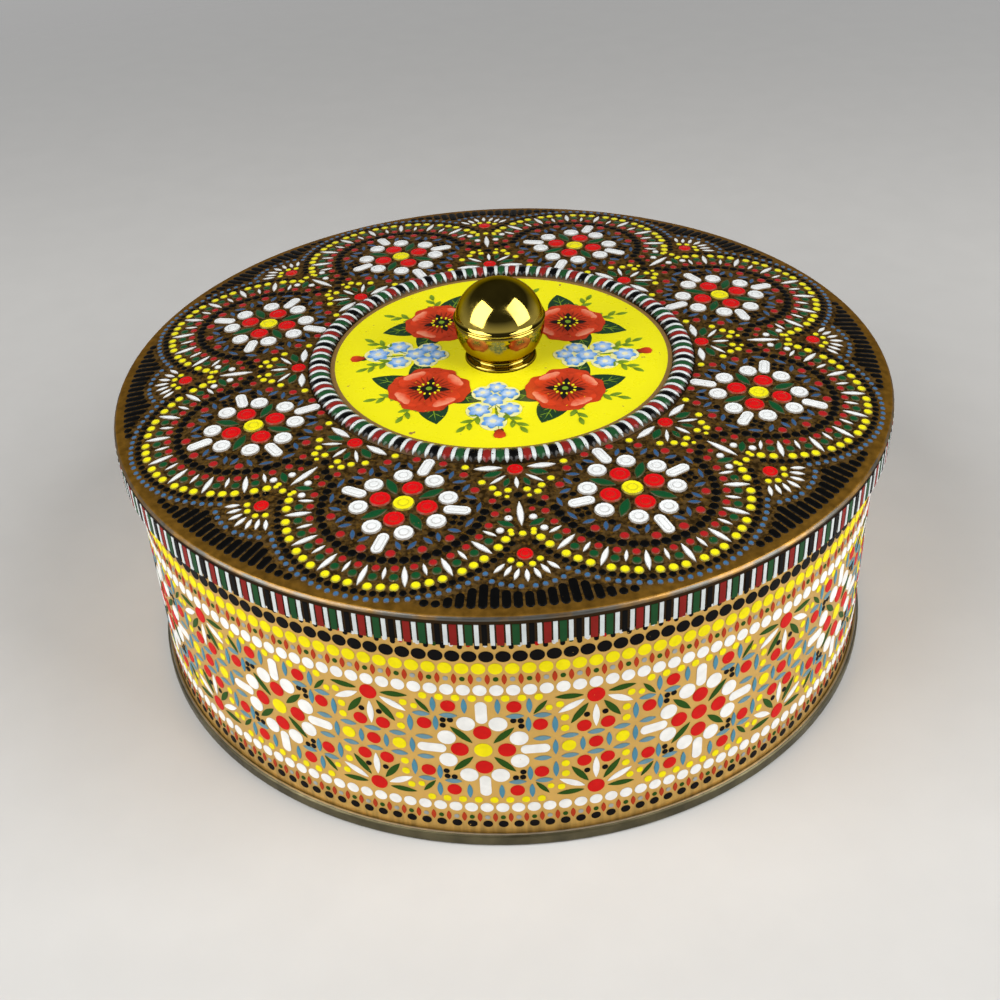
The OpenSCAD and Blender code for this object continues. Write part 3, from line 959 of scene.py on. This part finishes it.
class Wreath:
    """Flat flowers for the lid's panel, layer over layer."""

    def __init__(self, seed):
        self.dice = random.Random(seed)
        self.tiles = []

    def add(self, x, y, degrees, reach, layer, shape, length, width):
        """A petal, leaf or vein that lies at some reach from a root."""
        place = point_off(x, y, degrees, reach)
        self.tiles.append(Tile(layer, shape, round(length, 1), round(width, 1), *place, degrees))

    def poppy(self, x, y, size, turn):
        """A poppy: broad back petals, front petals with pale edges and fine lines, and a dark heart."""
        for k in range(4):
            self.add(x, y, turn + 45 + 90 * k, 0.265 * size, "petal_back", "petal", 0.5 * size, 0.56 * size)
        for k in range(4):
            at = turn + 90 * k
            self.add(x, y, at, 0.23 * size, "petal_front", "petal", 0.44 * size, 0.44 * size)
            self.add(x, y, at - 6, 0.36 * size, "petal_edge", "petal", 0.15 * size, 0.3 * size)
            for fan in (-30, -15, 0, 15, 30):
                self.add(x, y, at + fan, 0.21 * size, "petal_line", "spindle", 0.2 * size, 0.022 * size)
            self.add(x, y, at + 45, 0.13 * size, "heart", "spindle", 0.26 * size, 0.09 * size)
        self.add(x, y, 0, 0, "heart", "oval", 0.19 * size, 0.19 * size)
        for k in range(12):
            self.add(x, y, 30 * k + turn, 0.13 * size, "stamen", "oval", 0.8, 0.5)
        self.add(x, y, 0, 0, "seed", "oval", 0.08 * size, 0.08 * size)

    def bud(self, x, y, degrees, length):
        """A closed bud on a light stem."""
        self.add(x, y, degrees, length / 2, "sprig", "spindle", length, 0.5)
        self.add(x, y, degrees, length + 1.6, "petal_front", "petal", 3.6, 2.6)
        self.add(x, y, degrees, length + 0.4, "leaf", "spindle", 3.4, 2.2)

    def star_flower(self, x, y, size, turn):
        """A small flower of six pointed petals."""
        for k in range(6):
            self.add(x, y, turn + 60 * k, 0.27 * size, "star_petal", "spindle", 0.5 * size, 0.34 * size)
        self.add(x, y, 0, 0, "star_heart", "oval", 0.26 * size, 0.26 * size)

    def leaf(self, x, y, degrees, length):
        """A dark leaf with a light midrib and side veins."""
        self.add(x, y, degrees, length / 2, "leaf", "spindle", length, 0.48 * length)
        self.add(x, y, degrees, length / 2, "vein", "spindle", 0.84 * length, 0.3)
        for share in (0.4, 0.55, 0.7):
            root = point_off(x, y, degrees, share * length)
            for side in (-40, 40):
                self.add(*root, degrees + side, 0.08 * length, "vein", "spindle", 0.16 * length, 0.2)

    def sprig(self, x, y, degrees, length):
        """A light stem with small leaves to either side and at its tip."""
        self.add(x, y, degrees, length / 2, "sprig", "spindle", length, 0.45)
        for share, side in ((0.45, -40), (0.58, 40), (0.72, -36), (0.84, 36), (1.0, 0)):
            root = point_off(x, y, degrees, share * length)
            self.add(*root, degrees + side, 1.5, "sprig", "spindle", 3.2, 1.2)

    def cluster(self, degrees, ring):
        """Starry flowers in the gap between two poppies, over a pale cloud."""
        for turn, out, bloom in CLUSTER:
            x, y = point_off(0, 0, degrees + turn, ring + out)
            self.add(x, y, degrees, 0, "cloud", "oval", bloom + 1.4, bloom + 0.8)
            self.star_flower(x, y, bloom, self.dice.uniform(0, 60))


WREATH_SEED = 7
FIRST_POPPY = 40
# Layers of the panel's print, from the lowest up.
PANEL_LAYERS = (
    "leaf", "vein", "cloud", "sprig", "petal_back", "petal_front", "petal_line", "petal_edge",
    "star_petal", "heart", "star_heart", "stamen", "seed")


def panel_wreath(mosaic):
    """The wreath's tiles, with x and y from the lid's axis."""
    wreath = Wreath(WREATH_SEED)
    ring = mosaic.flower_ring / MM
    pitch = 360 / mosaic.flowers
    for k in range(mosaic.flowers):
        at = pitch * k + FIRST_POPPY
        place = point_off(0, 0, at, ring)
        for side in (-1, 1):
            wreath.leaf(*place, at + side * wreath.dice.uniform(56, 70), 15.5)
            wreath.leaf(*place, at + side * wreath.dice.uniform(112, 124), 14.0)
            wreath.sprig(*place, at + side * wreath.dice.uniform(20, 30), 13.0)
        wreath.poppy(*place, wreath.dice.uniform(18.2, 19.6), at + wreath.dice.uniform(-30, 30))
        gap = at + pitch / 2
        place = point_off(0, 0, gap, ring)
        for side in (-1, 1):
            wreath.sprig(*place, gap + side * 34, 11.5)
        wreath.bud(*place, gap + 8, 11.0)
        wreath.cluster(gap, ring)
    return wreath.tiles


def ring_sheet(name, inner, outer, height):
    """A flat ring round the tin's axis."""
    bm = bmesh.new()
    ends = [bm.verts.new((radius, 0, height)) for radius in (inner, outer)]
    edge = bm.edges.new(ends)
    bmesh.ops.spin(
        bm, geom=[*ends, edge], cent=(0, 0, 0), axis=(0, 0, 1), angle=math.tau,
        steps=RING_STEPS, use_merge=True)
    bmesh.ops.remove_doubles(bm, verts=bm.verts, dist=WELD)
    mesh = as_mesh(name, bm)
    if mesh.polygons[0].normal.z < 0:
        mesh.flip_normals()
    return mesh


BRASS_NODES = ("knob_cap", "knob_cup", "knob_collar")
STEEL_NODES = ("knob_stud", "lid_washer", "lid_nut")


def settings(context, *groups):
    """The scene's property groups that an operator works with."""
    return [getattr(context.scene, "tin_" + group) for group in groups]


class TIN_OT_dress_metal(bpy.types.Operator):
    """Gives the wall, base, lid and knob their lacquer and metal finishes"""

    bl_idname = "tin.dress_metal"
    bl_label = "Lacquer and Metal"

    def execute(self, context):
        sizes, lid, bars, wall, metal = settings(context, "sizes", "lid", "bars", "wall", "metal")
        # The brass is darkened below the ball's cap, a painted shade.
        brass = polished("brass_polish", metal.brass, 0.05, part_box("knob_cap")[0].z)
        zinc = polished("zinc_plate", metal.steel, 0.3)
        finishes = {
            "body_wall": wall_lacquer("gold_wall_lacquer", wall, metal),
            "base_disc": bare_tin("base_tin", metal),
            "lid_shell": lid_lacquer("bronze_lid_lacquer", lid, bars, metal, sizes),
            **dict.fromkeys(BRASS_NODES, brass),
            **dict.fromkeys(STEEL_NODES, zinc),
        }
        for node, material in finishes.items():
            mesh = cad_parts[node].data
            mesh.materials.clear()
            mesh.materials.append(material)
        for node in BRASS_NODES:
            polished_copy(node, brass)
        return {"FINISHED"}


class TIN_OT_lid_mosaic(bpy.types.Operator):
    """Presses the medallions, the motifs between them and the rim bars into the lid"""

    bl_idname = "tin.lid_mosaic"
    bl_label = "Lid Mosaic"

    def execute(self, context):
        sizes, mosaic, lid = settings(context, "sizes", "mosaic", "lid")
        pitch = math.tau / mosaic.medallions
        medallion = (*LID_ROSETTE, *LID_GARLAND, *medallion_rows())
        junction = (*LID_JUNCTION, *junction_outline(), *rim_bars(mosaic, pitch / 2))
        tiles = Mosaic(embossed_tile)
        for k in range(mosaic.medallions):
            azimuth = mosaic.medallion_start + k * pitch
            tiles.lay_all(medallion, lid_face(sizes, azimuth, mosaic.medallion_ring))
            tiles.lay_all(junction, lid_face(sizes, azimuth + pitch / 2))

        def paint(name):
            if name == "black":
                return enamel("pressed_black", lid.black, lid.ground, 0.34, Specular_IOR_Level=0.06)
            return pressed_enamel("pressed_" + name, getattr(lid, name), lid.ground, 0.88, 0.99)
        tiles.pieces("lid_tiles_", "lid", "lid_lacquer", paint)
        return {"FINISHED"}


class TIN_OT_rope_ring(bpy.types.Operator):
    """Lays coloured and white bars over the rope ring"""

    bl_idname = "tin.rope_ring"
    bl_label = "Rope Ring"

    def execute(self, context):
        sizes, mosaic, colours = settings(context, "sizes", "mosaic", "bars")
        bars = Mosaic(strap_tile)
        group = len(ROPE_COLOURS)
        pitch = math.tau / mosaic.rope_groups / group
        for k in range(group * mosaic.rope_groups):
            face = rope_face(sizes, mosaic.rope_start + k * pitch)
            bars.lay(Tile(ROPE_COLOURS[k % group], "bar", *ROPE_BAR, 0, 0, 90), face)
            between = rope_face(sizes, mosaic.rope_start + (k + 0.5) * pitch)
            bars.lay(Tile("white", "bar", *ROPE_WHITE, 0, 0, 90), between)
        # The bars' colour deepens towards their feet, where they bend down over the rope: painted shade.
        bars.pieces("rope_bars_", "lid", "lid_lacquer", lambda name: pressed_enamel(
            "rope_" + name, getattr(colours, name), colours.ground, 0.5, 0.8))
        return {"FINISHED"}


class TIN_OT_skirt_bars(bpy.types.Operator):
    """Sets upright bars round the lid's skirt"""

    bl_idname = "tin.skirt_bars"
    bl_label = "Skirt Bars"

    def execute(self, context):
        sizes, mosaic, colours = settings(context, "sizes", "mosaic", "bars")
        bars = Mosaic(flat_tile)
        group = len(SKIRT_BARS)
        pitch = math.tau / mosaic.skirt_groups / group
        length = sizes.skirt_bar / MM
        middle = sizes.skirt_foot + sizes.skirt_bar / 2
        for k in range(group * mosaic.skirt_groups):
            name, width = SKIRT_BARS[k % group]
            face = wall_face(mosaic.skirt_start + k * pitch, middle, sizes.lid_radius)
            bars.lay(Tile(name, "block", length, width, 0, 0, 90), face)
        made = bars.pieces("skirt_bars_", "lid", "lid_lacquer", lambda name: enamel(
            "skirt_" + name, getattr(colours, name), colours.ground, 0.3, Specular_IOR_Level=0.05))
        set_normals(made, wall_normal)
        return {"FINISHED"}


class TIN_OT_wall_print(bpy.types.Operator):
    """Prints the bead rows, rosettes and star panels round the wall"""

    bl_idname = "tin.wall_print"
    bl_label = "Wall Print"

    def execute(self, context):
        sizes, mosaic, wall = settings(context, "sizes", "mosaic", "wall")
        tiles = Mosaic(flat_tile)
        pitch = math.tau / mosaic.rosettes
        step_mm = pitch * sizes.wall_radius / mosaic.ovals_per_rosette / MM
        for k in range(mosaic.rosettes):
            azimuth = mosaic.rosette_start + k * pitch
            heart = spot("red" if k % 3 == 1 else "yellow", WALL_HEART, 0, 0)
            for angle, height, motif in (
                    (azimuth, mosaic.frieze_height, (heart, *WALL_ROSETTE)),
                    (azimuth + pitch / 2, mosaic.frieze_height, WALL_STAR),
                    (azimuth, 0.0, wall_cell(step_mm, mosaic.ovals_per_rosette, k))):
                face = wall_face(angle, height, sizes.wall_radius)
                tiles.lay_all([tile for tile in motif if shown_on_wall(tile, angle, sizes)], face)
        made = tiles.pieces("wall_print_", "tin", "wall_lacquer", lambda name: enamel(
            "printed_" + name, getattr(wall, name), wall.ground, 0.34, Specular_IOR_Level=0.05))
        set_normals(made, wall_normal)
        return {"FINISHED"}


class TIN_OT_flower_panel(bpy.types.Operator):
    """Paints the yellow panel, its dark edge line and a wreath of flowers round the knob"""

    bl_idname = "tin.flower_panel"
    bl_label = "Flower Panel"

    def execute(self, context):
        sizes, mosaic, lid, flower = settings(context, "sizes", "mosaic", "lid", "flower")
        lift = sizes.panel_height + PANEL_LAYER
        sheet = ring_sheet("panel_yellow", sizes.collar_radius + 0.05 * MM, sizes.panel_radius, lift)
        yellow = panel_enamel("panel_yellow_enamel", lid.panel, lid.ground, sizes)
        add_piece("panel_yellow", sheet, yellow, "lid")
        line = ring_sheet("panel_edge", sizes.panel_radius, sizes.panel_edge, lift)
        dark = enamel("panel_edge_enamel", darker(lid.ground, 0.8), lid.rim)
        add_piece("panel_edge", line, dark, "lid")
        red = flower.poppy
        shaded = {
            "petal_back": ("poppy_back", darker(red, 0.3), darker(red, 0.8)),
            "petal_front": ("poppy_front", darker(red, 0.45), red),
            "petal_edge": ("poppy_edge", red, flower.poppy_light),
            "star_petal": ("star_petal", flower.star_light, flower.star),
            "leaf": ("leaf_green", darker(flower.leaf, 0.7), flower.leaf),
            "sprig": ("sprig_green", darker(flower.sprig, 0.6), flower.sprig),
        }
        plain = {
            "petal_line": ("poppy_line", darker(red, 0.35)),
            "heart": ("poppy_heart", flower.black),
            "stamen": ("poppy_stamen", lid.yellow),
            "seed": ("poppy_seed", flower.sprig),
            "cloud": ("pale_cloud", flower.cloud),
            "star_heart": ("star_heart", flower.white),
            "vein": ("leaf_vein", flower.sprig),
        }
        paints = {layer: shaded_enamel(*tones, lid.panel) for layer, tones in shaded.items()}
        paints.update({layer: enamel(*tones, lid.panel) for layer, tones in plain.items()})
        wreath = panel_wreath(mosaic)
        for level, layer in enumerate(PANEL_LAYERS, start=2):
            petals = Mosaic(petal_tile)
            for k, tile in enumerate(tile for tile in wreath if tile.colour == layer):
                # Petals of one layer overlap, so each lies a hair above the one before it.
                petals.lay(tile, panel_face(sizes, level + k % PETAL_STACK / PETAL_STACK))
            set_normals(petals.pieces("panel_", "lid", "lid_lacquer", paints.get), panel_normal)
        return {"FINISHED"}


# The studio: the height that the softboxes face, and its greys at the horizon and from some height up.
TIN_MIDDLE = 0.05
HORIZON = (0.42, 0.42, 0.42, 1)
OVERHEAD = (0.03, 0.03, 0.03, 1)
OVERHEAD_FROM = 0.42
FLOOR_SIDES = 96
SENSOR_WIDTH = 36
CLIP_START = 0.01


class TIN_OT_stage(bpy.types.Operator):
    """Sets the floor, the softboxes, the world and the camera"""

    bl_idname = "tin.stage"
    bl_label = "Stage"

    def execute(self, context):
        stage = context.scene.tin_stage
        bm = bmesh.new()
        bmesh.ops.create_circle(bm, cap_ends=True, segments=FLOOR_SIDES, radius=stage.floor_reach)
        floor = bpy.data.objects.new("floor", as_mesh("floor", bm))
        if floor.data.polygons[0].normal.z < 0:
            floor.data.flip_normals()
        floor.data.materials.append(floor_finish("pale_floor", stage.floor, stage.floor_reach))
        context.scene.collection.objects.link(floor)
        target = Vector((0, 0, TIN_MIDDLE))
        rise = stage.softbox_rise
        for around in (stage.left_box, stage.right_box):
            towards = Vector((
                math.sin(around) * math.cos(rise), -math.cos(around) * math.cos(rise), math.sin(rise)))
            self.softbox(context, stage, target, towards * stage.softbox_distance)
        self.world(context)
        self.camera(context, stage)
        context.scene.view_settings.view_transform = "Standard"
        return {"FINISHED"}

    def softbox(self, context, stage, target, offset):
        """A broad soft light that faces the tin."""
        lamp = bpy.data.lights.new("softbox", "AREA")
        lamp.shape = "RECTANGLE"
        lamp.size = stage.softbox_width
        lamp.size_y = stage.softbox_height
        lamp.energy = stage.softbox_power
        light = bpy.data.objects.new("softbox", lamp)
        light.location = target + offset
        light.rotation_euler = (-offset).to_track_quat("-Z", "Y").to_euler()
        context.scene.collection.objects.link(light)

    def world(self, context):
        """A grey studio, pale at the horizon and dim overhead."""
        world = bpy.data.worlds.new("studio")
        world.use_nodes = True
        nodes = world.node_tree.nodes
        links = world.node_tree.links
        place = nodes.new("ShaderNodeTexCoord")
        split = nodes.new("ShaderNodeSeparateXYZ")
        ramp = nodes.new("ShaderNodeValToRGB")
        links.new(place.outputs["Generated"], split.inputs["Vector"])
        links.new(split.outputs["Z"], ramp.inputs["Fac"])
        links.new(ramp.outputs["Color"], nodes["Background"].inputs["Color"])
        low, high = ramp.color_ramp.elements
        low.color = HORIZON
        high.color = OVERHEAD
        high.position = OVERHEAD_FROM
        context.scene.world = world

    def camera(self, context, stage):
        """A camera at the photograph's angle."""
        camera = bpy.data.objects.new("camera", bpy.data.cameras.new("camera"))
        camera.data.lens = stage.camera_lens
        camera.data.sensor_width = SENSOR_WIDTH
        camera.data.clip_start = CLIP_START
        look = Matrix.Rotation(math.pi / 2 - stage.camera_fall, 4, "X")
        roll = Matrix.Rotation(stage.camera_roll, 4, "Z")
        camera.matrix_world = Matrix.Translation(stage.camera_place) @ look @ roll
        context.scene.collection.objects.link(camera)
        context.scene.camera = camera


OPERATORS = (
    TIN_OT_dress_metal,
    TIN_OT_lid_mosaic,
    TIN_OT_rope_ring,
    TIN_OT_skirt_bars,
    TIN_OT_wall_print,
    TIN_OT_flower_panel,
    TIN_OT_stage,
)
GROUPS = {
    "tin_sizes": TinSizes,
    "tin_mosaic": MosaicSizes,
    "tin_lid": LidColours,
    "tin_bars": BarColours,
    "tin_wall": WallColours,
    "tin_metal": MetalColours,
    "tin_flower": FlowerColours,
    "tin_stage": StageSizes,
}


class TIN_PT_panel(bpy.types.Panel):
    """Shows the tin's operators and its settings"""

    bl_idname = "TIN_PT_panel"
    bl_label = "Decorated Tin"
    bl_space_type = "VIEW_3D"
    bl_region_type = "UI"
    bl_category = "Tin"

    def draw(self, context):
        for operator in OPERATORS:
            self.layout.operator(operator.bl_idname)
        for group in GROUPS:
            for name in getattr(context.scene, group).bl_rna.properties.keys():
                if name not in ("rna_type", "name"):
                    self.layout.prop(getattr(context.scene, group), name)


def register():
    for group_name, group in GROUPS.items():
        bpy.utils.register_class(group)
        setattr(bpy.types.Scene, group_name, PointerProperty(type=group))
    for cls in (*OPERATORS, TIN_PT_panel):
        bpy.utils.register_class(cls)


def unregister():
    for cls in (TIN_PT_panel, *reversed(OPERATORS)):
        bpy.utils.unregister_class(cls)
    for group_name, group in GROUPS.items():
        delattr(bpy.types.Scene, group_name)
        bpy.utils.unregister_class(group)


def main():
    register()
    bpy.ops.tin.dress_metal()
    bpy.ops.tin.lid_mosaic()
    bpy.ops.tin.rope_ring()
    bpy.ops.tin.skirt_bars()
    bpy.ops.tin.wall_print()
    bpy.ops.tin.flower_panel()
    bpy.ops.tin.stage()


if __name__ == "__main__":
    main()
